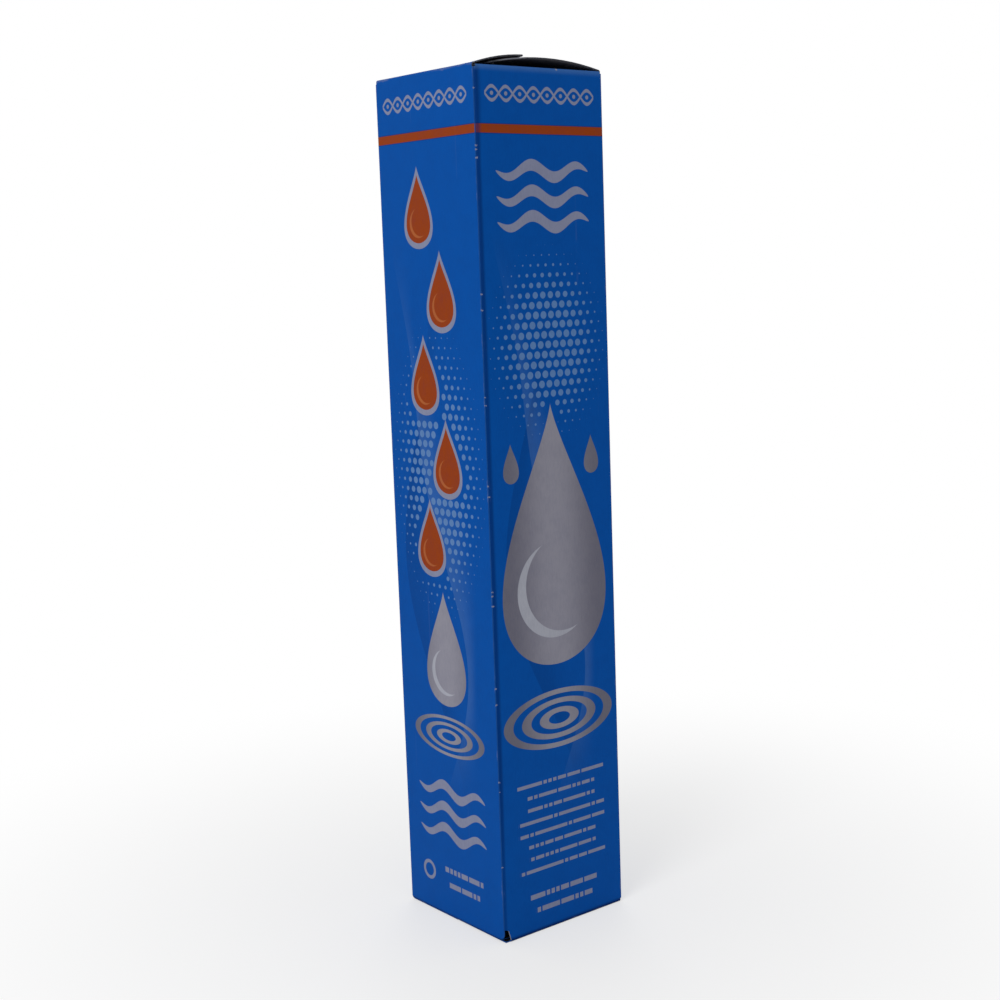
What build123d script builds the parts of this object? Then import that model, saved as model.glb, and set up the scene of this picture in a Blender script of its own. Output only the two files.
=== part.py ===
from build123d import *
import math
import os

# A sealed folding carton, standing upright. Lengths are in millimetres.
# The front panel faces -Y, the left panel faces -X, and the origin is under the middle of the base.

# Panels
front_width = 80.0  # across the front and back panels
side_width = 80.0  # across the left and right panels
panel_height = 429.0  # base to the top folds of the left and right panels
board = 0.6  # thickness of the paperboard
fold_radius = 1.0  # outside of a creased fold

# Corners, where creases and folds meet
slot_play = 0.2  # how far a crease or a flap stops short of another fold
overrun = 1.0  # how far a cut reaches past what it cuts

# Long top flap, folded in from the right panel and bowed up
long_flap_gap = 10.0  # its free end to the left panel
bow_foot_gap = 6.0  # the left panel to where its bow would come down to fold height
bow_rise = 4.2  # top of its bow above the folds

# Short top flap, folded in from the left panel and glued down on the long one
short_flap = 32.0  # fold to free end
corner_lift = 0.6  # its loose front corner stands this far off the long flap
lift_reach = 16.0  # how far back from the front the corner is loose
flap_corner_radius = 2.0  # rounding of the flaps' free corners

# Base flaps, folded in from the front and back panels and glued
base_gap = 1.0  # between their ends, along the middle of the base

# Split at the foot of the glued corner between the left and front panels
split_width = 3.4  # at the base
split_height = 7.0
split_depth = 5.0
split_bow_share = 0.7  # where the torn edge of the front panel passes, of width and height

half_front = front_width / 2
half_side = side_width / 2
seam_x = -half_front + board  # outer face of the glue tab, behind the left panel
seam_y = -half_side + fold_radius  # cut edge of the left panel
corner_slot = fold_radius + slot_play  # creases and flaps stop this far short of a panel's corner
base_slot = board + corner_slot  # foot of a corner crease, clear of all the base folds
flap_half = half_side - corner_slot
base_half = half_front - corner_slot
front_top = panel_height - board  # the front and back folds lie one board lower
flap_root = front_top - corner_slot  # head of the corner creases, from which the top flaps are drawn


def panel_tube():
    """Four panels in the round, with the left panel lapped over the glue tab at the front left corner."""
    fold_start = (seam_x + fold_radius, -half_side)
    cut_edge = (-half_front, seam_y)
    groove = (seam_x, seam_y)
    reach = fold_radius * (1 - math.sqrt(0.5))
    panels = FilletPolyline(
        fold_start,
        (half_front, -half_side),
        (half_front, half_side),
        (-half_front, half_side),
        cut_edge,
        radius=fold_radius,
    )
    lap = Line(cut_edge, groove)
    tab_fold = ThreePointArc(groove, (seam_x + reach, -half_side + reach), fold_start)
    section = make_face([*panels.edges(), lap, tab_fold])
    return Pos(0, 0, base_slot) * extrude(section, flap_root - base_slot)


def front_and_back():
    """Front and back panels with their folds at the top and at the base."""
    section = Plane.YZ.offset(-base_half) * Pos(0, front_top / 2) * RectangleRounded(
        side_width, front_top, fold_radius
    )
    return extrude(section, 2 * base_half)


def left_and_right():
    """Left and right panels, folded in above the base flaps."""
    height = front_top - board
    section = Plane.XZ.offset(-flap_half) * Pos(0, board + height / 2) * Rectangle(front_width, height)
    section = fillet(section.vertices().sort_by(Axis.Z)[:2], fold_radius)
    return extrude(section, 2 * flap_half)


def flap_section(fold, middle, end):
    """Section of a panel's top and its flap, through three points of the outer face given as (x, z)."""
    outer = ThreePointArc(fold, middle, end)
    centre = outer.arc_center
    inner_radius = outer.radius - board

    def inside(point):
        return centre + (Vector(*point) - centre) * (inner_radius / outer.radius)

    wall_x = fold[0] - math.copysign(board, fold[0])
    inner_fold = (wall_x, centre.Y + math.sqrt(inner_radius**2 - (wall_x - centre.X) ** 2))
    edges = [
        Line((fold[0], flap_root), fold),
        outer,
        Line(end, inside(end)),
        ThreePointArc(inside(end), inside(middle), inner_fold),
        Line(inner_fold, (wall_x, flap_root)),
        Line((wall_x, flap_root), (fold[0], flap_root)),
    ]
    section = Sketch() + make_face(edges)
    outer_crease = section.vertices().sort_by_distance((*fold, 0))[0]
    section = fillet(outer_crease, fold_radius)
    inner_crease = section.vertices().sort_by_distance((*inner_fold, 0))[0]
    return fillet(inner_crease, fold_radius - board)


def at_depth(y):
    """Upright plane at a distance y behind the middle, with X across and Z up."""
    return Plane(origin=(0, y, 0), x_dir=(1, 0, 0), z_dir=(0, -1, 0))


def flap_plan(low_x, high_x, free_side):
    """Upright prism of a flap's outline seen from above, with the corners at its free end rounded."""
    middle = (low_x + high_x) / 2
    outline = Pos(middle, 0, flap_root) * Rectangle(high_x - low_x, 2 * flap_half)
    corners = outline.vertices().sort_by(Axis.X, reverse=free_side > 0)[:2]
    ceiling = panel_height + bow_rise + board + corner_lift + overrun
    return extrude(fillet(corners, flap_corner_radius), ceiling - flap_root)


bow_span = front_width - bow_foot_gap
bow_middle = half_front - bow_span / 2
long_flap_end = -half_front + long_flap_gap
short_flap_end = -half_front + short_flap


def arch(x, middle, span, rise):
    """Height at x of an arc that rises from the fold height to the middle of its span."""
    radius = (span**2 / 4 + rise**2) / (2 * rise)
    return panel_height + rise - radius + math.sqrt(radius**2 - (x - middle) ** 2)


def bow_height(x):
    """Height at x of the long flap's outer face."""
    return arch(x, bow_middle, bow_span, bow_rise)


def long_top_flap():
    """The right panel's flap, bowed up, with its free end under the short flap."""
    past_end = long_flap_end - overrun
    section = flap_section(
        (half_front, panel_height), (bow_middle, bow_height(bow_middle)), (past_end, bow_height(past_end))
    )
    sheet = extrude(at_depth(flap_half) * section, 2 * flap_half)
    return sheet & flap_plan(long_flap_end, half_front, -1)


def short_top_flap():
    """The left panel's flap, lying on the long one, with its front corner sprung up."""
    fold = (-half_front, panel_height)
    middle = -half_front + short_flap / 2
    past_end = short_flap_end + overrun
    lying_points = [(x, bow_height(x) + board) for x in (middle, past_end)]
    lying = flap_section(fold, *lying_points)

    rise = bow_height(short_flap_end) + board + corner_lift - panel_height
    lifted_points = [(x, arch(x, short_flap_end, 2 * short_flap, rise)) for x in (middle, past_end)]
    lifted = flap_section(fold, *lifted_points)

    loose = loft([at_depth(-flap_half) * lifted, at_depth(lift_reach - flap_half) * lying], ruled=True)
    glued = extrude(at_depth(flap_half) * lying, 2 * flap_half - lift_reach)
    return (loose + glued) & flap_plan(-half_front, short_flap_end, 1)


def base_joint():
    """Gap between the ends of the two base flaps."""
    return Box(front_width, base_gap, 2 * board)


def corner_split():
    """Open corner at the foot of the glued seam, torn from the front panel in a curve."""
    foot = (seam_x + split_width, 0)
    head = (seam_x, split_height)
    bow = (seam_x + split_bow_share * split_width, split_bow_share * split_height)
    outline = make_face(
        [
            ThreePointArc(head, bow, foot),
            Line(foot, (foot[0], -overrun)),
            Line((foot[0], -overrun), (seam_x, -overrun)),
            Line((seam_x, -overrun), head),
        ]
    )
    return extrude(at_depth(split_depth - half_side) * outline, split_depth + overrun)


def carton():
    """The whole sealed pack as one folded piece."""
    pack = panel_tube() + front_and_back() + left_and_right()
    pack += long_top_flap()
    pack += short_top_flap()
    pack -= base_joint()
    pack -= corner_split()
    return pack


os.makedirs("parts", exist_ok=True)
export_step(carton(), "parts/carton.step")
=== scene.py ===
"""Looks of the sealed carton: its folded board, its print, and a plain studio."""

import math

import bmesh
import bpy
from mathutils import Color, Matrix, Vector, noise

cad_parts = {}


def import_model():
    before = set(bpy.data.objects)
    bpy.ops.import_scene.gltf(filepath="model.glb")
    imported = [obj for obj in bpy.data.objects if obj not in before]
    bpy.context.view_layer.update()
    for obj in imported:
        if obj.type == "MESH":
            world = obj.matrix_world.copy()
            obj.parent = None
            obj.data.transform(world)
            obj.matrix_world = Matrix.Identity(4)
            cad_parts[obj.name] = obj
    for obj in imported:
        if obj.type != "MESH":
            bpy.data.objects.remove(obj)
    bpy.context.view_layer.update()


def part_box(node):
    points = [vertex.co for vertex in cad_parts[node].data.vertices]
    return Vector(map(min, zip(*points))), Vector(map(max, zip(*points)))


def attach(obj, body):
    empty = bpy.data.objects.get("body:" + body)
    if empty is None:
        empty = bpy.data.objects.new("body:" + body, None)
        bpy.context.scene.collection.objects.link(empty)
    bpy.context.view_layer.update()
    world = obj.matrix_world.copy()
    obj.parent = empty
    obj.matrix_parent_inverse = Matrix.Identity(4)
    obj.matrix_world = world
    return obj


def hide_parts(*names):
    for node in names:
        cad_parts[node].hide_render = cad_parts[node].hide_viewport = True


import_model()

MM = 0.001

# The carton's sizes in metres. The front panel faces -Y and the left panel faces -X.
_, high_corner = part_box("carton")
HALF_FRONT = high_corner.x
HALF_SIDE = high_corner.y
PANEL_TOP = 429 * MM
BOARD = 0.6 * MM
FOLD = 1 * MM
FRONT_TOP = PANEL_TOP - BOARD
CORNER_SLOT = 1.2 * MM
FLAP_HALF = HALF_SIDE - CORNER_SLOT
BASE_HALF = HALF_FRONT - CORNER_SLOT
TUBE_FOOT = BOARD + CORNER_SLOT
TUBE_TOP = FRONT_TOP - CORNER_SLOT

# Glued corner, at the front left
GLUE_LINE = 0.05 * MM
TAB_WIDTH = 13 * MM
SEAM_X = -HALF_FRONT + BOARD + GLUE_LINE
SEAM_SET_BACK = 0.7 * MM
SPLIT_WIDTH = 3.4 * MM
SPLIT_HEIGHT = 7 * MM
SPLIT_DEPTH = 5 * MM
SPLIT_FULLNESS = 2.3
SPLIT_CUTS = 8
LEFT_FOOT_ROUND = 3 * MM

# Top flaps. The long flap and its bow end a little short of the left fold.
LONG_FLAP_ROOM = 10 * MM
LONG_FLAP_END = -HALF_FRONT + LONG_FLAP_ROOM
LONG_FLAP_STEPS = 12
BOW_ROOM = 6 * MM
BOW_SPAN = 2 * HALF_FRONT - BOW_ROOM
BOW_MIDDLE = HALF_FRONT - BOW_SPAN / 2
BOW_RISE = 4.2 * MM
SHORT_FLAP = 32 * MM
SHORT_FLAP_END = -HALF_FRONT + SHORT_FLAP
SHORT_FLAP_STEPS = 6
FLAP_GLUE = 0.12 * MM
FLAP_CORNER = 2 * MM
CORNER_LIFT = 0.6 * MM
LIFT_REACH = 16 * MM
LIFT_CURVE = 1.5
LIFT_STEPS = 3
DUST_FLAP = 30 * MM
DUST_DROP = math.radians(3)

# Base flaps
BASE_GAP = 1 * MM

# Panel grid and the slight bulge of the full pack
GRID = 10 * MM
MIDDLE_LINES = 3
BULGE = 0.3 * MM
WAVER = 0.12 * MM
WAVER_SCALE = 22

# Fineness of the mesh, and the slack for finding and cutting its parts
CREASE_STEPS = 6
SHARP_ANGLE = math.radians(35)
RIM_SLACK = 0.05 * MM
CUT_SLACK = 0.01 * MM
BASE_LEVEL = 0.005 * MM


def arc_radius(span, rise):
    """Radius of an arc that rises to the middle of its span."""
    return (span**2 / 4 + rise**2) / (2 * rise)


def arch(x, middle, span, rise):
    """Height at x of an arc that rises from the fold height to the middle of its span."""
    radius = arc_radius(span, rise)
    return PANEL_TOP + rise - radius + math.sqrt(radius**2 - (x - middle) ** 2)


def bow_height(x):
    """Height at x of the long flap's outer face."""
    return arch(x, BOW_MIDDLE, BOW_SPAN, BOW_RISE)


def circle_through(first, second, third):
    """Centre and radius of the circle through three points of the XZ plane."""
    (ax, az), (bx, bz), (cx, cz) = first, second, third
    cross = 2 * (ax * (bz - cz) + bx * (cz - az) + cx * (az - bz))
    squares = (ax**2 + az**2, bx**2 + bz**2, cx**2 + cz**2)
    x = (squares[0] * (bz - cz) + squares[1] * (cz - az) + squares[2] * (az - bz)) / cross
    z = (squares[0] * (cx - bx) + squares[1] * (ax - cx) + squares[2] * (bx - ax)) / cross
    return Vector((x, 0, z)), math.hypot(ax - x, az - z)


def added(name, data):
    """A new object in the scene, with its mesh, lamp or camera."""
    obj = bpy.data.objects.new(name, data)
    bpy.context.scene.collection.objects.link(obj)
    return obj


def corners_of(parts):
    """Corners of edges or faces, each once and in order."""
    return list(dict.fromkeys(vert for part in parts for vert in part.verts))


def parts_of(faces):
    """Faces together with their edges and corners."""
    edges = dict.fromkeys(edge for face in faces for edge in face.edges)
    return [*corners_of(faces), *edges, *faces]


def pushed(bm, edges, move):
    """Extrudes edges by a move and gives back the new far edges."""
    made = bmesh.ops.extrude_edge_only(bm, edges=edges)["geom"]
    verts = [part for part in made if isinstance(part, bmesh.types.BMVert)]
    bmesh.ops.translate(bm, verts=verts, vec=move)
    far = set(verts)
    return [part for part in made if isinstance(part, bmesh.types.BMEdge) and far.issuperset(part.verts)]


def turned(bm, edges, pivot, axis, angle, steps):
    """Sweeps edges round a pivot and gives back the new far edges."""
    made = bmesh.ops.spin(
        bm,
        geom=corners_of(edges) + edges,
        cent=pivot,
        axis=axis,
        angle=angle,
        steps=steps,
        use_merge=False,
    )
    return [part for part in made["geom_last"] if isinstance(part, bmesh.types.BMEdge)]


def rounded(bm, geom, offset, affect):
    """Rounds creases, or the free corners of a flap."""
    bmesh.ops.bevel(
        bm,
        geom=geom,
        offset=offset,
        offset_type="OFFSET",
        affect=affect,
        segments=CREASE_STEPS,
        profile=0.5,
        material=-1,
    )


def rim(bm, height, face_axis, face_place, half_length):
    """Open edges of the tube at one height, on one panel, between its slots."""
    along = 1 - face_axis

    def on_panel(vert):
        level = abs(vert.co.z - height) < RIM_SLACK
        there = abs(vert.co[face_axis] - face_place) < RIM_SLACK
        return level and there and abs(vert.co[along]) < half_length + RIM_SLACK

    return [edge for edge in bm.edges if edge.is_boundary and all(on_panel(vert) for vert in edge.verts)]


def panel_tube(bm):
    """The four panels and the glue tab, standing between the corner slots, with rounded creases."""
    plan = [
        (-HALF_FRONT, -HALF_SIDE + SEAM_SET_BACK),
        (-HALF_FRONT, HALF_SIDE),
        (HALF_FRONT, HALF_SIDE),
        (HALF_FRONT, -HALF_SIDE),
        (SEAM_X, -HALF_SIDE),
        (SEAM_X, -HALF_SIDE + TAB_WIDTH),
    ]
    verts = [bm.verts.new((x, y, TUBE_FOOT)) for x, y in plan]
    feet = [bm.edges.new(pair) for pair in zip(verts, verts[1:])]
    pushed(bm, feet, (0, 0, TUBE_TOP - TUBE_FOOT))
    rounded(bm, [edge for edge in bm.edges if not edge.is_boundary], FOLD, "EDGES")
    rounded(bm, [verts[0]], LEFT_FOOT_ROUND, "VERTICES")


def cut_across(bm, faces, place, normal):
    """Cuts faces along a plane, with nothing taken away."""
    bmesh.ops.bisect_plane(bm, geom=parts_of(faces), plane_co=place, plane_no=normal, dist=CUT_SLACK)


def grid_lines(bm):
    """Cuts the panels into a grid, with lines where the flaps begin and where the loose corner ends."""
    loose = [-FLAP_HALF + LIFT_REACH * step / LIFT_STEPS for step in range(LIFT_STEPS + 1)]
    between = [-GRID / 2 + GRID * step for step in range(MIDDLE_LINES)]
    places = {
        0: [-BASE_HALF + GRID * step for step in range(round(2 * BASE_HALF / GRID))] + [BASE_HALF],
        1: loose + between + [-place for place in loose],
        2: [GRID * step for step in range(1, round(FRONT_TOP / GRID))],
    }
    for axis, cuts in places.items():
        normal = Vector((0, 0, 0))
        normal[axis] = 1
        for cut in cuts:
            cut_across(bm, list(bm.faces), normal * cut, normal)


def bulge(bm):
    """Swells the panels a little, as the full pack does, and lets the board waver."""
    close = BOARD / 3
    for vert in bm.verts:
        x, y, z = vert.co
        if not TUBE_FOOT < z < TUBE_TOP:
            continue
        on_side = abs(x) > HALF_FRONT - close
        on_front = abs(y) > HALF_SIDE - close
        if on_side == on_front:
            continue
        across = y / HALF_SIDE if on_side else x / HALF_FRONT
        swell = (1 - across**2) * math.sin(math.pi * z / PANEL_TOP)
        waver = noise.noise(vert.co * WAVER_SCALE) * (1 - across**2)
        out = Vector((math.copysign(1, x), 0, 0)) if on_side else Vector((0, math.copysign(1, y), 0))
        vert.co += out * (BULGE * swell + WAVER * waver)


def base_flaps(bm):
    """Folds the base: dust flaps from the side panels, then outer flaps from the front and back panels."""
    for side in (-1, 1):
        start = BOARD + GLUE_LINE + FOLD
        edges = pushed(bm, rim(bm, TUBE_FOOT, 0, side * HALF_FRONT, FLAP_HALF), (0, 0, start - TUBE_FOOT))
        pivot = (side * (HALF_FRONT - FOLD), 0, start)
        edges = turned(bm, edges, pivot, (0, 1, 0), side * math.pi / 2, CREASE_STEPS)
        pushed(bm, edges, (-side * DUST_FLAP, 0, 0))
    for side in (-1, 1):
        edges = pushed(bm, rim(bm, TUBE_FOOT, 1, side * HALF_SIDE, BASE_HALF), (0, 0, FOLD - TUBE_FOOT))
        pivot = (0, side * (HALF_SIDE - FOLD), FOLD)
        edges = turned(bm, edges, pivot, (1, 0, 0), -side * math.pi / 2, CREASE_STEPS)
        pushed(bm, edges, (0, -side * (HALF_SIDE - FOLD - BASE_GAP / 2), 0))


def dust_flaps(bm):
    """Folds the front and back panels' top flaps in, where the upper flaps cover them."""
    for side in (-1, 1):
        edges = pushed(bm, rim(bm, TUBE_TOP, 1, side * HALF_SIDE, BASE_HALF), (0, 0, CORNER_SLOT - FOLD))
        pivot = (0, side * (HALF_SIDE - FOLD), FRONT_TOP - FOLD)
        edges = turned(bm, edges, pivot, (1, 0, 0), side * (math.pi / 2 + DUST_DROP), CREASE_STEPS)
        reach = Vector((0, -side * math.cos(DUST_DROP), -math.sin(DUST_DROP))) * DUST_FLAP
        pushed(bm, edges, reach)


def curved_flap(bm, side, centre, radius, end_x, steps):
    """Folds one side panel's top over into an arc about a centre, and rounds the free corners."""
    fold_x = side * (HALF_FRONT - FOLD)
    start = centre.z + math.sqrt((radius - FOLD) ** 2 - (fold_x - centre.x) ** 2)
    edges = pushed(bm, rim(bm, TUBE_TOP, 0, side * HALF_FRONT, FLAP_HALF), (0, 0, start - TUBE_TOP))
    crease = math.atan2(start - centre.z, side * (fold_x - centre.x))
    edges = turned(bm, edges, (fold_x, 0, start), (0, 1, 0), -side * crease, CREASE_STEPS)
    sweep = math.acos(side * (end_x - centre.x) / radius) - crease
    edges = turned(bm, edges, centre, (0, 1, 0), -side * sweep, steps)
    free = [vert for vert in corners_of(edges) if abs(vert.co.y) > FLAP_HALF - BOARD]
    rounded(bm, free, FLAP_CORNER, "VERTICES")


def spring_corner(verts):
    """Lifts the short flap's front corner off the long flap."""
    rise = bow_height(SHORT_FLAP_END) + BOARD + CORNER_LIFT - PANEL_TOP
    for vert in verts:
        if vert.co.z < PANEL_TOP:
            continue
        loose = max(0, 1 - (vert.co.y + FLAP_HALF) / LIFT_REACH)
        lifted = arch(vert.co.x, SHORT_FLAP_END, 2 * SHORT_FLAP, rise)
        vert.co.z += loose**LIFT_CURVE * max(0, lifted - vert.co.z)


def top_flaps(bm):
    """The bowed long flap, and the short flap that lies on it."""
    radius = arc_radius(BOW_SPAN, BOW_RISE)
    centre = Vector((BOW_MIDDLE, 0, PANEL_TOP + BOW_RISE - radius))
    curved_flap(bm, 1, centre, radius, LONG_FLAP_END, LONG_FLAP_STEPS)
    before = set(bm.verts)
    middle = -HALF_FRONT + SHORT_FLAP / 2
    cover = BOARD + FLAP_GLUE
    centre, radius = circle_through(
        (-HALF_FRONT, PANEL_TOP),
        (middle, bow_height(middle) + cover),
        (SHORT_FLAP_END, bow_height(SHORT_FLAP_END) + cover),
    )
    curved_flap(bm, -1, centre, radius, SHORT_FLAP_END, SHORT_FLAP_STEPS)
    spring_corner([vert for vert in bm.verts if vert not in before])


def beside_split(face):
    """Whether a face is of the front panel, its folds or the tab, near the foot of the glued corner."""
    middle = face.calc_center_median()
    inside_left = middle.x > -HALF_FRONT + BOARD / 2
    above_base = BASE_LEVEL < middle.z < GRID
    return inside_left and above_base and middle.x < SEAM_X + GRID and middle.y < -HALF_SIDE + SPLIT_DEPTH


def corner_split(bm):
    """Tears the front panel's foot open in a curve beside the glued corner, through its folds and tab."""
    cuts = []
    steep = SPLIT_FULLNESS - 1
    for step in range(SPLIT_CUTS):
        turn = math.pi / 2 * (step + 0.5) / SPLIT_CUTS
        across, up = (part ** (2 / SPLIT_FULLNESS) for part in (math.cos(turn), math.sin(turn)))
        place = Vector((SEAM_X + SPLIT_WIDTH * across, 0, SPLIT_HEIGHT * up))
        normal = Vector((SPLIT_HEIGHT * across**steep, 0, SPLIT_WIDTH * up**steep))
        cut_across(bm, [face for face in bm.faces if beside_split(face)], place, normal)
        cuts.append((place, normal))

    def torn(face):
        middle = face.calc_center_median()
        return beside_split(face) and all((middle - place).dot(normal) < 0 for place, normal in cuts)

    bmesh.ops.delete(bm, geom=[face for face in bm.faces if torn(face)], context="FACES")


def folded_board(materials):
    """The carton's one sheet of board, folded and closed, with its real thickness."""
    bm = bmesh.new()
    panel_tube(bm)
    grid_lines(bm)
    bulge(bm)
    base_flaps(bm)
    dust_flaps(bm)
    top_flaps(bm)
    corner_split(bm)
    bmesh.ops.recalc_face_normals(bm, faces=bm.faces)
    mesh = bpy.data.meshes.new("carton_sheet")
    bm.to_mesh(mesh)
    bm.free()
    for material in materials:
        mesh.materials.append(material)
    sheet = added("carton_sheet", mesh)
    wall = sheet.modifiers.new("board", "SOLIDIFY")
    wall.thickness = BOARD
    wall.offset = -1
    wall.use_even_offset = True
    wall.material_offset = 1
    wall.material_offset_rim = 2
    solid = bpy.data.meshes.new_from_object(sheet.evaluated_get(bpy.context.evaluated_depsgraph_get()))
    sheet.modifiers.clear()
    sheet.data = solid
    solid.name = "carton_sheet"
    for polygon in solid.polygons:
        polygon.use_smooth = True
    solid.set_sharp_from_angle(angle=SHARP_ANGLE)
    return sheet


# Inks and board, as screen colours
BLUE = "024da0"
BLUE_DEEP = "024490"
SKY = "5b7fb2"
ORANGE = "903c12"
ORANGE_LIGHT = "a85c30"
PALE = "8388a1"
GREY_GLEAM = "a6a8b3"
GREY_LIGHT = "8d8c98"
GREY_DARK = "6b6a77"
# Dark navy: ink of the band's keylines, darker fibre tone, and painted shade at the creases and the foot
NAVY_INK_AND_SHADE = "001d55"
FOLD_HIGHLIGHT = "4a74ac"
PAPER = "9a9ca6"
EDGE_GREY = "3a3c43"
EDGE_DARK_BLUE = "16529e"
BACK_GREY = "5b5854"
BACK_LIGHT = "6f6b66"
BACK_DIRT_AND_SHADE = "17181c"

# Print, in metres across from a panel's middle and down from its top
INK_EDGE = 0.15 * MM
DARK_RIBBON = {
    "swing": 17 * MM,
    "swing_length": 330 * MM,
    "half_width": 13 * MM,
    "swell_length": 210 * MM,
    "start": 0.6,
}
LIGHT_RIBBON = {
    "swing": 22 * MM,
    "swing_length": 410 * MM,
    "half_width": 12 * MM,
    "swell_length": 170 * MM,
    "start": 3.4,
}
RIBBON_FULLNESS = 0.8
RIBBON_SWELL = 0.5
RIBBON_RISE = (70 * MM, 190 * MM)
RIBBON_FALL = (372 * MM, 300 * MM)
DARK_RIBBON_STRENGTH = 0.9
LIGHT_RIBBON_STRENGTH = 0.25
BORDER_DOWN = 13.5 * MM
BORDER_HALF = 34 * MM
BORDER_SWING = 3.2 * MM
BORDER_WAVE = 17 * MM
BORDER_LINE = 0.8 * MM
BORDER_DOT = 0.96 * MM
BAND_DOWN = 29.65 * MM
BAND_HALF = 2.05 * MM
BAND_KEYLINE = 0.35 * MM
BAND_KEYLINE_STRENGTH = 0.7
DOT_PITCH = 4.8 * MM
DOT_SIZE = 2 * MM
DOT_FADE = (45 * MM, 14 * MM)
DOT_CLEAR = 2.4 * MM
FRONT_DOTS = {"middle": 132 * MM, "squash": 0.8}
SIDE_DOTS = {"middle": 195 * MM, "squash": 0.5}
FRONT_DROP = {"middle": 226 * MM, "half_height": 66 * MM, "half_width": 34 * MM}
FRONT_SPLASH = {"middle": 188 * MM, "half_height": 10 * MM, "half_width": 5 * MM}
SPLASH_ACROSS = 26 * MM
SIDE_DROP = {"middle": 284 * MM, "half_height": 30 * MM, "half_width": 16.5 * MM}
FALLING_TOP = 43 * MM
FALLING_STEP = 41 * MM
FALLING_COUNT = 5
FALLING_SWAY = 8 * MM
FALLING_OUTLINE = {"middle": 20.5 * MM, "half_height": 20.3 * MM, "half_width": 12 * MM}
FALLING_FILL = {"middle": 21.2 * MM, "half_height": 16.8 * MM, "half_width": 10 * MM}
DROP_TAPER = 0.85
DROP_WIDEST = 0.68
GREY_SHADING = (30 * MM, 2 * MM)
GLEAM_DOWN = 0.42
GLEAM_SIZE = 0.72
GLEAM_BESIDE = 0.16
GLEAM_ABOVE = 0.08
FRONT_RINGS = {"middle": 320 * MM, "flatness": 2.4, "first": 10 * MM, "pitch": 11.5 * MM, "line": 3 * MM}
SIDE_RINGS = {"middle": 330 * MM, "flatness": 2.8, "first": 8 * MM, "pitch": 9.5 * MM, "line": 2.2 * MM}
RING_COUNT = 3
RING_MARK = {"beside": -22 * MM, "below": 407 * MM, "radius": 4.4 * MM, "line": 0.9 * MM}
FRONT_WAVES = {"top": 43 * MM, "pitch": 12 * MM, "half_length": 29 * MM, "line": 3 * MM}
SIDE_WAVES = {"top": 354 * MM, "pitch": 11.5 * MM, "half_length": 28 * MM, "line": 2.8 * MM}
WAVE_COUNT = 3
WAVE_SWING_SHARE = 0.24
FRONT_BARS = {"top": 348 * MM, "rows": 8, "pitch": 6.4 * MM, "half_length": 31 * MM, "line": 0.9 * MM}
FOOT_BARS = {"top": 406 * MM, "rows": 2, "pitch": 7.5 * MM, "half_length": 26 * MM, "line": 1.3 * MM}
SIDE_BARS = {"top": 399 * MM, "rows": 2, "pitch": 8 * MM, "half_length": 19 * MM, "line": 1.4 * MM}
SIDE_BARS_ACROSS = 8 * MM
BAR_CELL = 3.2 * MM
BAR_GAP = 1 * MM
BAR_GAP_CHANCE = 0.38
BAR_ROW_SEED = 57
BAR_SHORTEST = 0.65
BAR_SWING_STEP = 2.4
BAR_SWING_START = 1

# Fibres of the board, with scales in cells to the metre
FIBRES = {"scale": 1400, "detail": 5, "roughness": 0.65}
FIBRE_RUN = (1, 1, 0.22)
FIBRE_SHARE = 0.6
CLOUDS = {"scale": 120, "detail": 4}

# Chips along the glued corner, by height, and one chip on the front's top fold
SEAM_NICKS = [
    height * MM
    for height in (417.5, 391.4, 389.6, 385.8, 322.8, 315.3, 274.1, 270.2, 231.4)
    + (226.2, 179.6, 177.6, 172.6, 131.5, 123.3, 83.9, 78.9, 40)
]
NICK_HALF_HEIGHT = 0.7 * MM
NICK_REACH = 1 * MM
NICK_RAGGED_SCALE = 1300
NICK_RAGGED_SHARE = 1.2
NICK_SIZE_SCALE = 140
NICK_EDGE = (1.1, 0.8)
NICK_STRENGTH = 0.7
FOLD_NICK_ACROSS = 10.6 * MM
FOLD_NICK_INSET = 0.3 * MM
FOLD_NICK = (FOLD_NICK_ACROSS, -HALF_SIDE + FOLD_NICK_INSET, FRONT_TOP - FOLD_NICK_INSET)
FOLD_NICK_SIZE = 0.8 * MM

# Printed side: shade at its corners and foot, light on its top fold, wear, scratches and finish
OUTER_SKIN = (1.2 * MM, 0.5 * MM)
CORNER_TURN = (1.1 * MM, 0.2 * MM)
CORNER_TURN_SHADE = 0.5
FOOT_TURN = (2.8 * MM, 0.8 * MM)
FOOT_TURN_SHADE = 0.85
CREASE_CORE = 1 * MM
CREASE_REACH = 2.4 * MM
CREASE_BODY = (20 * MM, 120 * MM)
CREASE_BODY_REACH = 1 * MM
CREASE_TOP = (45 * MM, 15 * MM)
CREASE_TOP_REACH = 1.6 * MM
CREASE_SHADE = 0.5
CREASE_RISE = (0, 90 * MM)
CREASE_RISE_SHADE = 0.18
TOP_FOLD_HIGHLIGHT = (3.4 * MM, 0.6 * MM)
TOP_FOLD_HIGHLIGHT_STRENGTH = 0.5
RUB = {"scale": 55, "detail": 7, "roughness": 0.7}
HANDLED = (2.5 * MM, 0.2 * MM)
HANDLED_FOLDS = 0.3
HANDLED_BASE = 0.18
WORN = (0.74, 0.92)
WORN_STRENGTH = 0.28
SCRATCHES = {"scale": 420, "detail": 1}
SCRATCH_RUN = (1, 1, 0.02)
SCRATCH_EDGE = (0.7, 0.78)
SCRATCH_PATCHES = (0.42, 0.58)
SCRATCH_STRENGTH = 0.03
FIBRE_SHADE = (0.6, 0.35)
FIBRE_SHADE_STRENGTH = 0.1
PRINT_ROUGHNESS = 0.36
PRINT_ROUGHNESS_GRAIN = 0.16
BARE_ROUGHNESS = 0.25
PRINT_FINISH = {"gloss": 0.03, "relief": 0.15, "depth": 0.06 * MM}
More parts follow.
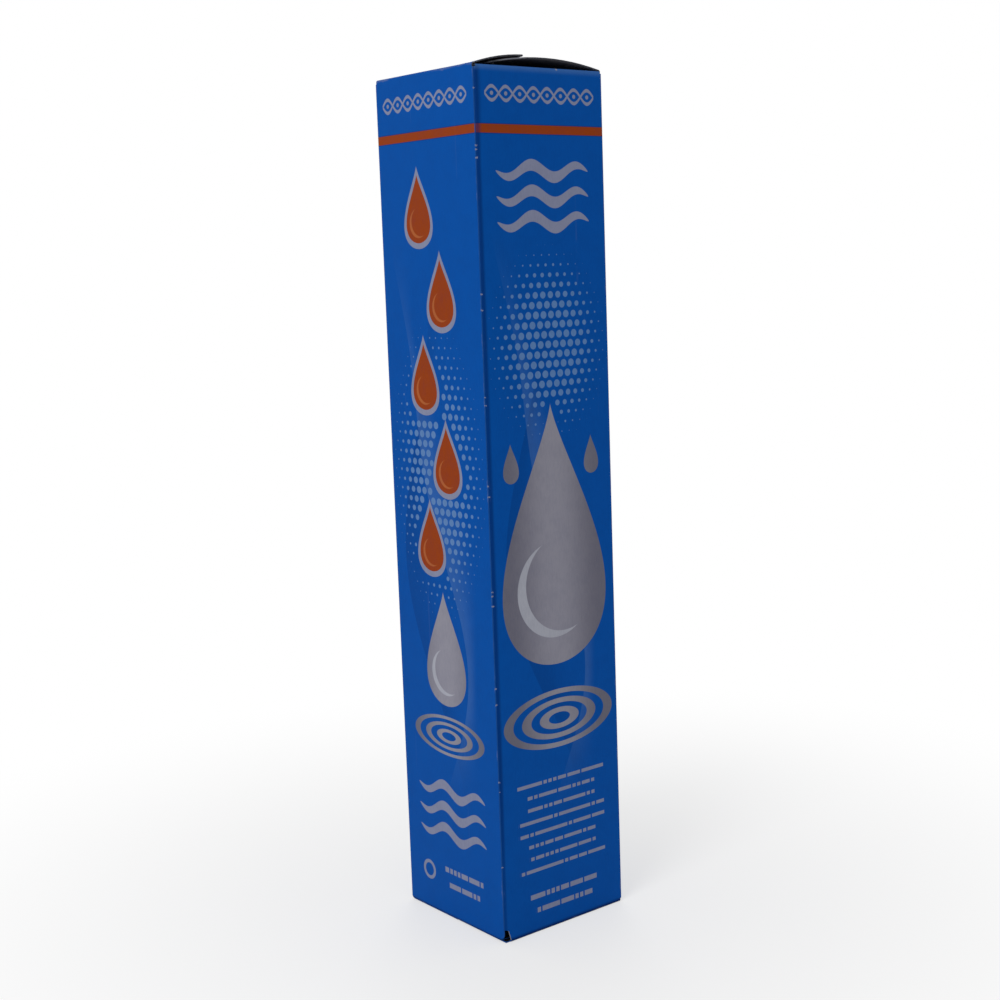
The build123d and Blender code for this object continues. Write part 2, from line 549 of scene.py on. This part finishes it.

# Inside of the board, darkened near the split by dirt and painted shade
BACK_FLECKS = (0.35, 0.65)
DIRT_AND_SHADE_REACH = (12 * MM, 5 * MM)
DIRT_AND_SHADE_HEIGHT = (12 * MM, 4 * MM)
BACK_ROUGHNESS = 0.78
BACK_ROUGHNESS_GRAIN = 0.15
BACK_FINISH = {"gloss": 0.1, "relief": 0.4, "depth": 0.1 * MM}

# Cut edge of the board: darker blue at the glued corner, painted shade at the foot, pale at the split, and a
# painted highlight under the short flap
EDGE_FLECKS = (0.45, 0.8)
EDGE_FLECK_STRENGTH = 0.6
DARK_EDGE_REACH = (3 * MM, 2 * MM)
DARK_EDGE_TOP = (TUBE_TOP, TUBE_TOP - 1 * MM)
EDGE_FOOT_SHADE = (2 * MM, 1 * MM)
EDGE_DARKENING = 0.9
TORN_INSET = 0.4 * MM
TORN_TOP = (SPLIT_HEIGHT + 1 * MM, SPLIT_HEIGHT)
TORN_FOOT = (0.8 * MM, 1.6 * MM)
EDGE_HIGHLIGHT_START = (SHORT_FLAP_END - 19 * MM, SHORT_FLAP_END - 12 * MM)
EDGE_HIGHLIGHT_END = (SHORT_FLAP_END + 1 * MM, SHORT_FLAP_END - 4 * MM)
EDGE_HIGHLIGHT_STRENGTH = 0.45
EDGE_ROUGHNESS = 0.82
EDGE_ROUGHNESS_GRAIN = 0.1
EDGE_FINISH = {"gloss": 0.05, "relief": 0.5, "depth": 0.1 * MM}

# Sockets of a Mix node that blends colours
MIX_SHARE, MIX_UNDER, MIX_OVER = 0, 6, 7
MIX_RESULT = 2


def paint(code):
    """Linear colour of a six-digit screen colour."""
    parts = [part / 255 for part in bytes.fromhex(code)]
    return (*Color(parts).from_srgb_to_scene_linear(), 1)


class Field:
    """A number that changes over the surface. Arithmetic on fields adds math nodes."""

    def __init__(self, socket):
        self.socket = socket
        self.tree = socket.id_data

    def __add__(self, other):
        return calc("ADD", self, other)

    def __sub__(self, other):
        return calc("SUBTRACT", self, other)

    def __rsub__(self, other):
        return calc("SUBTRACT", other, self)

    def __mul__(self, other):
        return calc("MULTIPLY", self, other)

    def __truediv__(self, other):
        return calc("DIVIDE", self, other)

    def __pow__(self, other):
        return calc("POWER", self, other)

    def __mod__(self, other):
        return calc("FLOORED_MODULO", self, other)

    def __neg__(self):
        return calc("MULTIPLY", self, -1)

    def __abs__(self):
        return calc("ABSOLUTE", self)

    def __gt__(self, other):
        return calc("GREATER_THAN", self, other)

    def __lt__(self, other):
        return calc("LESS_THAN", self, other)

    __radd__ = __add__
    __rmul__ = __mul__


def plug(value, socket):
    """Sets a socket to a field, another socket or a plain value."""
    if isinstance(value, Field):
        value = value.socket
    if isinstance(value, bpy.types.NodeSocket):
        socket.id_data.links.new(value, socket)
    else:
        socket.default_value = value


def calc(operation, *values):
    """A math node on fields and plain numbers."""
    tree = next(value.tree for value in values if isinstance(value, Field))
    node = tree.nodes.new("ShaderNodeMath")
    node.operation = operation
    for value, socket in zip(values, node.inputs):
        plug(value, socket)
    return Field(node.outputs["Value"])


def least(*values):
    """The smallest of several fields or numbers."""
    result = values[0]
    for value in values[1:]:
        result = calc("MINIMUM", result, value)
    return result


def most(*values):
    """The largest of several fields or numbers."""
    result = values[0]
    for value in values[1:]:
        result = calc("MAXIMUM", result, value)
    return result


def length(*fields):
    """Length of a line, from its reach along each direction."""
    return calc("SQRT", sum(field * field for field in fields))


def wave(field, wave_length, start=0):
    """Sine of a field over a wave's length, from a start in radians."""
    return calc("SINE", field * (2 * math.pi / wave_length) + start)


def ramp(field, low, high):
    """Rises smoothly from 0 where the field is low to 1 where it is high."""
    node = field.tree.nodes.new("ShaderNodeMapRange")
    node.interpolation_type = "SMOOTHSTEP"
    plug(field, node.inputs["Value"])
    plug(low, node.inputs["From Min"])
    plug(high, node.inputs["From Max"])
    return Field(node.outputs["Result"])


def choose(mask, off, on):
    """One field where a mask is 0 and another where it is 1."""
    return off + mask * (on - off)


def ink(inside):
    """Mask of a printed shape, from how deep inside its outline a place is."""
    return ramp(inside, -INK_EDGE, INK_EDGE)


def over(under, colour, mask):
    """Lays a colour over another one by a mask."""
    node = mask.tree.nodes.new("ShaderNodeMix")
    node.data_type = "RGBA"
    plug(mask, node.inputs[MIX_SHARE])
    plug(paint(under) if isinstance(under, str) else under, node.inputs[MIX_UNDER])
    plug(paint(colour) if isinstance(colour, str) else colour, node.inputs[MIX_OVER])
    return node.outputs[MIX_RESULT]


def grain(coords, scale, detail=3, roughness=0.55):
    """Noise field over the surface."""
    node = coords.id_data.nodes.new("ShaderNodeTexNoise")
    plug(coords, node.inputs["Vector"])
    node.inputs["Scale"].default_value = scale
    node.inputs["Detail"].default_value = detail
    node.inputs["Roughness"].default_value = roughness
    return Field(node.outputs["Fac"])


def chance(field):
    """A random number for each whole value of a field."""
    node = field.tree.nodes.new("ShaderNodeTexWhiteNoise")
    node.noise_dimensions = "1D"
    plug(field, node.inputs["W"])
    return Field(node.outputs["Value"])


def stretched(coords, scale):
    """Coordinates squeezed along some axes, for a grain that runs one way."""
    node = coords.id_data.nodes.new("ShaderNodeMapping")
    plug(coords, node.inputs["Vector"])
    node.inputs["Scale"].default_value = scale
    return node.outputs["Vector"]


def object_place(tree):
    """Object coordinates, as a vector and as three fields."""
    coords = tree.nodes.new("ShaderNodeTexCoord").outputs["Object"]
    node = tree.nodes.new("ShaderNodeSeparateXYZ")
    plug(coords, node.inputs["Vector"])
    return coords, [Field(socket) for socket in node.outputs]


def new_group(name, outputs):
    """An empty node group with named value outputs, and its output node."""
    tree = bpy.data.node_groups.new(name, "ShaderNodeTree")
    for output in outputs:
        tree.interface.new_socket(output, in_out="OUTPUT", socket_type="NodeSocketFloat")
    return tree, tree.nodes.new("NodeGroupOutput")


def use_group(tree, group):
    """Places a group in a material and gives its outputs as fields."""
    node = tree.nodes.new("ShaderNodeGroup")
    node.node_tree = group
    return [Field(socket) for socket in node.outputs]


def principled(name):
    """A new material, and its tree and shader."""
    material = bpy.data.materials.new(name)
    material.use_nodes = True
    return material, material.node_tree, material.node_tree.nodes["Principled BSDF"]


def finish_board(shader, colour, roughness, height, gloss, relief, depth):
    """Gives a side of the board its colour, roughness, gloss and relief."""
    plug(colour, shader.inputs["Base Color"])
    plug(roughness, shader.inputs["Roughness"])
    shader.inputs["Specular IOR Level"].default_value = gloss
    node = height.tree.nodes.new("ShaderNodeBump")
    node.inputs["Strength"].default_value = relief
    node.inputs["Distance"].default_value = depth
    plug(height, node.inputs["Height"])
    plug(node.outputs["Normal"], shader.inputs["Normal"])


def from_glued_corner(x, y):
    """How far a place is from the glued corner, across or along the front."""
    return most(x + HALF_FRONT, y + HALF_SIDE)


def board_fibre():
    """Fibres of paperboard: a tone and a height, running along the carton."""
    tree, out = new_group("board_fibre", ("Tone", "Height"))
    coords, _ = object_place(tree)
    fibres = grain(stretched(coords, FIBRE_RUN), **FIBRES)
    clouds = grain(coords, **CLOUDS)
    plug(fibres * FIBRE_SHARE + clouds * (1 - FIBRE_SHARE), out.inputs["Tone"])
    plug(fibres, out.inputs["Height"])
    return tree


def seam_nicks():
    """Chips along the glued corner, and one on the front's top fold, where the ink has gone."""
    tree, out = new_group("seam_nicks", ("Mask",))
    coords, (x, y, z) = object_place(tree)
    away = least(*[abs(z - height) for height in SEAM_NICKS])
    seam_chip = length(away / NICK_HALF_HEIGHT, from_glued_corner(x, y) / NICK_REACH)
    fold_chip = length(*[place - spot for place, spot in zip((x, y, z), FOLD_NICK)]) / FOLD_NICK_SIZE
    ragged = grain(coords, NICK_RAGGED_SCALE) * NICK_RAGGED_SHARE + grain(coords, NICK_SIZE_SCALE)
    plug(ramp(least(seam_chip, fold_chip) * ragged, *NICK_EDGE) * NICK_STRENGTH, out.inputs["Mask"])
    return tree


def ribbon(across, down, swing, swing_length, half_width, swell_length, start):
    """Mask of a ribbon that swings and swells down a panel, and fades from one edge to the other."""
    beside = across - wave(down, swing_length, start) * swing
    width = (wave(down, swell_length) * RIBBON_SWELL + RIBBON_FULLNESS) * half_width
    return ink(width - abs(beside)) * ramp(beside, width, -width)


def border(across, down):
    """Mask of two waving lines that cross, with a dot in each eye."""
    swing = wave(across, BORDER_WAVE) * BORDER_SWING
    local = down - BORDER_DOWN
    strands = BORDER_LINE - least(abs(local - swing), abs(local + swing))
    eye = across % (BORDER_WAVE / 2) - BORDER_WAVE / 4
    dots = BORDER_DOT - length(eye, local)
    return ink(most(strands, dots)) * ink(BORDER_HALF - abs(across))


def band(down):
    """Depth inside the band that runs round the carton."""
    return BAND_HALF - abs(down - BAND_DOWN)


def drop_shape(across, down, middle, half_height, half_width):
    """Depth inside a drop with its tip up."""
    height = least(most((middle - down) / half_height, -1), 1)
    taper = ((1 - height) / 2) ** DROP_TAPER
    return calc("SQRT", 1 - height**2) * taper * (half_width / DROP_WIDEST) - abs(across) - INK_EDGE


def drop_gleam(across, down, middle, half_height, half_width):
    """Mask of a crescent of light in the round part of a drop."""
    low = down - middle - half_height * GLEAM_DOWN
    size = half_width * GLEAM_SIZE
    rim_side = size - length(across, low)
    hollow = size - length(across - half_width * GLEAM_BESIDE, low + half_width * GLEAM_ABOVE)
    return ink(least(rim_side, -hollow))


def rings(across, down, middle, flatness, first, pitch, line):
    """Mask of flattened rings around one middle, as on water."""
    radius = length(across, (down - middle) * flatness)
    inner = first - pitch / 2
    ring = abs((radius - inner) % pitch - pitch / 2)
    within = least(radius - inner, inner + RING_COUNT * pitch - radius)
    return ink(least(line - ring, within))


def ring_mark(across, down, beside, below, radius, line):
    """Mask of a plain ring."""
    return ink(line - abs(length(across - beside, down - below) - radius))


def waves(across, down, top, pitch, half_length, line):
    """Mask of waving lines one under another, thinner towards their ends."""
    local = (down - top) % pitch - pitch / 2
    swing = wave(across, half_length) * (pitch * WAVE_SWING_SHARE)
    thin = calc("SQRT", most(1 - (across / half_length) ** 2, 0)) * line
    within = least(down - top, top + WAVE_COUNT * pitch - down)
    return ink(least(thin - abs(local - swing) - INK_EDGE, within))


def bar_rows(across, down, top, rows, pitch, half_length, line):
    """Mask of rows of short plain bars, each row of another length."""
    row = calc("FLOOR", (down - top) / pitch)
    local = abs((down - top) % pitch - pitch / 2)
    shortest = BAR_SHORTEST * half_length
    swing = abs(calc("SINE", row * BAR_SWING_STEP + BAR_SWING_START))
    longest = swing * (half_length - shortest) + shortest
    reach = calc("FLOOR", longest / BAR_CELL) * BAR_CELL
    parted = chance(calc("FLOOR", across / BAR_CELL) + row * BAR_ROW_SEED) < BAR_GAP_CHANCE
    gap = (across % BAR_CELL < BAR_GAP) * parted
    within = least(down - top, top + rows * pitch - down)
    return ink(least(line - local, reach - abs(across), within)) * (1 - gap)


def falling_drops(across, down):
    """Places along a column of drops that sway from side to side, and the mask of the column."""
    row = calc("FLOOR", (down - FALLING_TOP) / FALLING_STEP)
    beside = across - ((row % 2) * 2 - 1) * FALLING_SWAY
    below = (down - FALLING_TOP) % FALLING_STEP
    column = ink(least(down - FALLING_TOP, FALLING_TOP + FALLING_COUNT * FALLING_STEP - down))
    return beside, below, column


def dot_distance(across, down, middle, squash):
    """How far a place is from the middle of a panel's dot screen."""
    return length(across, (down - middle) * squash)


def clear_zone(across, down, middle, half_height, half_width):
    """Mask of a drop and a margin around it, which the dots leave clear."""
    return ink(drop_shape(across, down, middle, half_height + 2 * DOT_CLEAR, half_width + DOT_CLEAR))


def dot_screen(side, across, down):
    """Mask of staggered round dots that shrink away from their middle and leave the drops clear."""
    row = calc("FLOOR", down / DOT_PITCH)
    beside = (across + (row % 2) * (DOT_PITCH / 2)) % DOT_PITCH - DOT_PITCH / 2
    below = down % DOT_PITCH - DOT_PITCH / 2
    place = (across - beside, down - below)
    far = choose(side, dot_distance(*place, **FRONT_DOTS), dot_distance(*place, **SIDE_DOTS))
    *falling_place, column = falling_drops(*place)
    falling = clear_zone(*falling_place, **FALLING_OUTLINE) * column
    clear = choose(side, clear_zone(*place, **FRONT_DROP), most(clear_zone(*place, **SIDE_DROP), falling))
    size = ramp(far, *DOT_FADE) * DOT_SIZE * (1 - clear)
    return ink(size - length(beside, below) - INK_EDGE)


def printed_colour(side, outside, across, down):
    """Blue ground with ribbons, dots, drops, rings, waves, bars, the border and the orange band."""
    dark = ribbon(across, down, **DARK_RIBBON) * DARK_RIBBON_STRENGTH
    light = ribbon(across, down, **LIGHT_RIBBON) * LIGHT_RIBBON_STRENGTH
    shown = ramp(down, *RIBBON_RISE) * ramp(down, *RIBBON_FALL) * outside
    colour = over(over(BLUE, BLUE_DEEP, dark * shown), SKY, light * shown)

    colour = over(colour, SKY, dot_screen(side, across, down))

    drop = choose(side, drop_shape(across, down, **FRONT_DROP), drop_shape(across, down, **SIDE_DROP))
    splash = drop_shape(abs(across) - SPLASH_ACROSS, down, **FRONT_SPLASH)
    water = choose(side, rings(across, down, **FRONT_RINGS), rings(across, down, **SIDE_RINGS))
    grey = over(GREY_DARK, GREY_LIGHT, ramp(abs(across), *GREY_SHADING))
    colour = over(colour, grey, most(ink(drop), ink(splash) * (1 - side), water))
    gleam = choose(side, drop_gleam(across, down, **FRONT_DROP), drop_gleam(across, down, **SIDE_DROP))
    colour = over(colour, GREY_GLEAM, gleam)

    front_lines = most(
        waves(across, down, **FRONT_WAVES),
        bar_rows(across, down, **FRONT_BARS),
        bar_rows(across, down, **FOOT_BARS),
    )
    side_lines = most(
        waves(across, down, **SIDE_WAVES),
        bar_rows(across - SIDE_BARS_ACROSS, down, **SIDE_BARS),
        ring_mark(across, down, **RING_MARK),
    )
    colour = over(colour, PALE, most(choose(side, front_lines, side_lines), border(across, down)))

    beside, below, column = falling_drops(across, down)
    column = column * side
    colour = over(colour, PALE, ink(drop_shape(beside, below, **FALLING_OUTLINE)) * column)
    colour = over(colour, ORANGE, ink(drop_shape(beside, below, **FALLING_FILL)) * column)
    colour = over(colour, ORANGE_LIGHT, drop_gleam(beside, below, **FALLING_FILL) * column)

    colour = over(colour, NAVY_INK_AND_SHADE, ink(band(down) + BAND_KEYLINE) * BAND_KEYLINE_STRENGTH)
    return over(colour, ORANGE, ink(band(down)))


def painted_seam_shade(corner, down, z):
    """Shade of the crease beside the glued corner, widest at the top and faintest at the foot."""
    at_top = ramp(down, *CREASE_TOP) * CREASE_TOP_REACH
    above_foot = ramp(z, *CREASE_BODY) * CREASE_BODY_REACH
    shade = ramp(z, *CREASE_RISE) * CREASE_RISE_SHADE + CREASE_SHADE
    return ramp(corner, at_top + above_foot + CREASE_REACH, CREASE_CORE) * shade


def printed_board(fibre, nicks):
    """Coated board, printed blue with pale and orange shapes, worn at its folds, with painted shade at its
    creases and foot and a painted highlight on its top fold.
    """
    material, tree, shader = principled("printed_board")
    coords, (x, y, z) = object_place(tree)
    side = abs(x) > abs(y)
    across = choose(side, -x * calc("SIGN", y), y * calc("SIGN", x))
    down = PANEL_TOP - z
    inward = HALF_FRONT - most(abs(x), abs(y))
    outside = ramp(inward, *OUTER_SKIN)
    colour = printed_colour(side, outside, across, down)

    corner = HALF_FRONT - abs(across)
    front_left = (1 - side) * (y < 0) * (x < 0)
    # Painted shade along the rounded vertical creases, where the board turns away from the light
    painted_corner_shade = ramp(corner, *CORNER_TURN) * CORNER_TURN_SHADE * outside
    # Painted shadow in the groove of the crease beside the glued corner
    seam = front_left * painted_seam_shade(corner, down, z) * outside
    # Painted shade along the foot, where the base fold turns under and meets the floor
    foot = ramp(z, *FOOT_TURN) * FOOT_TURN_SHADE * outside
    colour = over(colour, NAVY_INK_AND_SHADE, most(painted_corner_shade, seam, foot))

    rub = grain(coords, **RUB)
    fold_line = least(corner + inward, length(inward, z), length(inward, down))
    handled = most(ramp(fold_line, *HANDLED) * HANDLED_FOLDS, (1 - outside) * (z < FOLD) * HANDLED_BASE)
    worn = ramp(rub + handled, *WORN) * (1 - seam)
    scratch = ramp(grain(stretched(coords, SCRATCH_RUN), **SCRATCHES), *SCRATCH_EDGE)
    scratched = scratch * ramp(rub, *SCRATCH_PATCHES)
    colour = over(colour, PAPER, most(worn * WORN_STRENGTH, scratched * SCRATCH_STRENGTH))
    # Painted highlight along the front and back panels' top fold
    fold = (1 - side) * ramp(FRONT_TOP - z, *TOP_FOLD_HIGHLIGHT) * TOP_FOLD_HIGHLIGHT_STRENGTH * outside
    colour = over(colour, FOLD_HIGHLIGHT, fold)
    (chips,) = use_group(tree, nicks)
    colour = over(colour, PAPER, chips)
    tone, height = use_group(tree, fibre)
    colour = over(colour, NAVY_INK_AND_SHADE, ramp(tone, *FIBRE_SHADE) * FIBRE_SHADE_STRENGTH)
    roughness = tone * PRINT_ROUGHNESS_GRAIN + PRINT_ROUGHNESS + most(chips, worn) * BARE_ROUGHNESS
    finish_board(shader, colour, roughness, (height + tone) / 2, **PRINT_FINISH)
    return material


def board_back(fibre):
    """Grey, uncoated inside of the board, darkened at the foot where the corner is split, by dirt and
    painted shade.
    """
    material, tree, shader = principled("board_back")
    _, (x, y, z) = object_place(tree)
    tone, height = use_group(tree, fibre)
    colour = over(BACK_GREY, BACK_LIGHT, ramp(tone, *BACK_FLECKS))
    # Dirt and painted shade inside the foot of the split corner
    at_split = ramp(from_glued_corner(x, y), *DIRT_AND_SHADE_REACH) * ramp(z, *DIRT_AND_SHADE_HEIGHT)
    colour = over(colour, BACK_DIRT_AND_SHADE, at_split)
    finish_board(shader, colour, tone * BACK_ROUGHNESS_GRAIN + BACK_ROUGHNESS, height, **BACK_FINISH)
    return material


def under_short_flap(x, z):
    """Mask of the long flap's edge where the short flap lies on it, which gets a painted highlight."""
    radius = arc_radius(BOW_SPAN, BOW_RISE)
    bow = calc("SQRT", radius**2 - (x - BOW_MIDDLE) ** 2) + (PANEL_TOP + BOW_RISE - radius)
    on_long_flap = (z > PANEL_TOP) * (z < bow + FLAP_GLUE / 2)
    return ramp(x, *EDGE_HIGHLIGHT_START) * ramp(x, *EDGE_HIGHLIGHT_END) * on_long_flap


def cut_edge(fibre, nicks):
    """Cut edge of the board: grey core, darker blue at the glued corner, painted shade at the foot, pale in
    places, and a painted highlight under the short flap.
    """
    material, tree, shader = principled("cut_edge")
    _, (x, y, z) = object_place(tree)
    tone, height = use_group(tree, fibre)
    (chips,) = use_group(tree, nicks)
    colour = over(EDGE_GREY, PAPER, ramp(tone, *EDGE_FLECKS) * EDGE_FLECK_STRENGTH)
    # Darker blue at the glued corner, and painted shade along the foot
    at_seam = ramp(from_glued_corner(x, y), *DARK_EDGE_REACH) * ramp(z, *DARK_EDGE_TOP)
    colour = over(colour, EDGE_DARK_BLUE, most(at_seam, ramp(z, *EDGE_FOOT_SHADE)) * EDGE_DARKENING)
    beside_seam = (x > SEAM_X + TORN_INSET) * (x < SEAM_X + 2 * SPLIT_WIDTH)
    torn = beside_seam * (y < BOARD - HALF_SIDE) * ramp(z, *TORN_TOP) * ramp(z, *TORN_FOOT)
    # Painted highlight on the long flap's edge under the short flap
    edge_highlight = under_short_flap(x, z) * EDGE_HIGHLIGHT_STRENGTH
    colour = over(colour, PAPER, most(chips, torn, edge_highlight))
    finish_board(shader, colour, tone * EDGE_ROUGHNESS_GRAIN + EDGE_ROUGHNESS, height, **EDGE_FINISH)
    return material


# Studio and camera, in metres and watts
CAMERA_PLACE = Vector((-0.5023, -0.6297, 0.3369))
CAMERA_AIM = Vector((0, 0.0018, 0.2162))
CAMERA_ROLL = math.radians(-2.03)
CAMERA_LENS = 56.92
CAMERA_SENSOR = 36
CAMERA_REACH = 20
LAMP_AIM = Vector((0, 0, 0.2))
KEY_LAMP = {"place": Vector((-1.46, -0.54, 1.2)), "size": 0.9, "power": 13.1}
BACK_LAMP = {"place": Vector((1.1, 1.3, 1)), "size": 1.2, "power": 7}
WORLD_WHITE = (1, 1, 1, 1)
WORLD_LIGHT = 0.52
FLOOR_HALF = 6
FLOOR_DROP = 0.1 * MM
FLOOR_GREY = (0.9, 0.9, 0.9, 1)
FLOOR_ROUGHNESS = 0.9
FLOOR_FADE = (0.05, 0.45)
FLOOR_NEAR_WHITE = 0.55


def aimed(obj, place, aim, roll=0.0):
    """Puts a lamp or the camera at a place, looking at an aim point."""
    look = (aim - place).to_track_quat("-Z", "Y").to_matrix().to_4x4()
    obj.matrix_world = Matrix.Translation(place) @ look @ Matrix.Rotation(roll, 4, "Z")


def camera():
    """Camera at the photograph's viewing angle."""
    data = bpy.data.cameras.new("camera")
    data.sensor_fit = "HORIZONTAL"
    data.sensor_width = CAMERA_SENSOR
    data.lens = CAMERA_LENS
    data.clip_end = CAMERA_REACH
    obj = added("camera", data)
    aimed(obj, CAMERA_PLACE, CAMERA_AIM, CAMERA_ROLL)
    bpy.context.scene.camera = obj


def lamp(name, place, size, power):
    """A round soft lamp, aimed at the carton's middle."""
    data = bpy.data.lights.new(name, "AREA")
    data.shape = "DISK"
    data.size = size
    data.energy = power
    aimed(added(name, data), place, LAMP_AIM)


def floor():
    """Pale floor that keeps a soft shadow near the carton and fades to white."""
    bm = bmesh.new()
    bmesh.ops.create_grid(bm, x_segments=1, y_segments=1, size=FLOOR_HALF)
    bmesh.ops.translate(bm, verts=bm.verts, vec=(0, 0, -FLOOR_DROP))
    mesh = bpy.data.meshes.new("floor")
    bm.to_mesh(mesh)
    bm.free()
    material, tree, shader = principled("pale_floor")
    shader.inputs["Base Color"].default_value = FLOOR_GREY
    shader.inputs["Roughness"].default_value = FLOOR_ROUGHNESS
    shader.inputs["Specular IOR Level"].default_value = 0
    _, (x, y, _) = object_place(tree)
    fade = ramp(length(x, y), *FLOOR_FADE) * (1 - FLOOR_NEAR_WHITE) + FLOOR_NEAR_WHITE
    path = tree.nodes.new("ShaderNodeLightPath")
    glow = tree.nodes.new("ShaderNodeEmission")
    blend = tree.nodes.new("ShaderNodeMixShader")
    share, lit, white = blend.inputs
    plug(fade * Field(path.outputs["Is Camera Ray"]), share)
    plug(shader.outputs["BSDF"], lit)
    plug(glow.outputs["Emission"], white)
    plug(blend.outputs["Shader"], tree.nodes["Material Output"].inputs["Surface"])
    mesh.materials.append(material)
    obj = added("floor", mesh)


def world():
    """White surroundings to look at, and a softer level to light with."""
    scene_world = bpy.data.worlds.new("studio")
    bpy.context.scene.world = scene_world
    scene_world.use_nodes = True
    tree = scene_world.node_tree
    back = tree.nodes["Background"]
    back.inputs["Color"].default_value = WORLD_WHITE
    path = tree.nodes.new("ShaderNodeLightPath")
    seen = most(*[Field(path.outputs[f"Is {kind} Ray"]) for kind in ("Camera", "Glossy", "Transmission")])
    plug(choose(seen, WORLD_LIGHT, 1), back.inputs["Strength"])


fibre = board_fibre()
nicks = seam_nicks()
sheet = folded_board([printed_board(fibre, nicks), board_back(fibre), cut_edge(fibre, nicks)])
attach(sheet, "root")
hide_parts("carton")

camera()
floor()
world()
lamp("key_lamp", **KEY_LAMP)
lamp("back_lamp", **BACK_LAMP)
bpy.context.scene.view_settings.view_transform = "Standard"
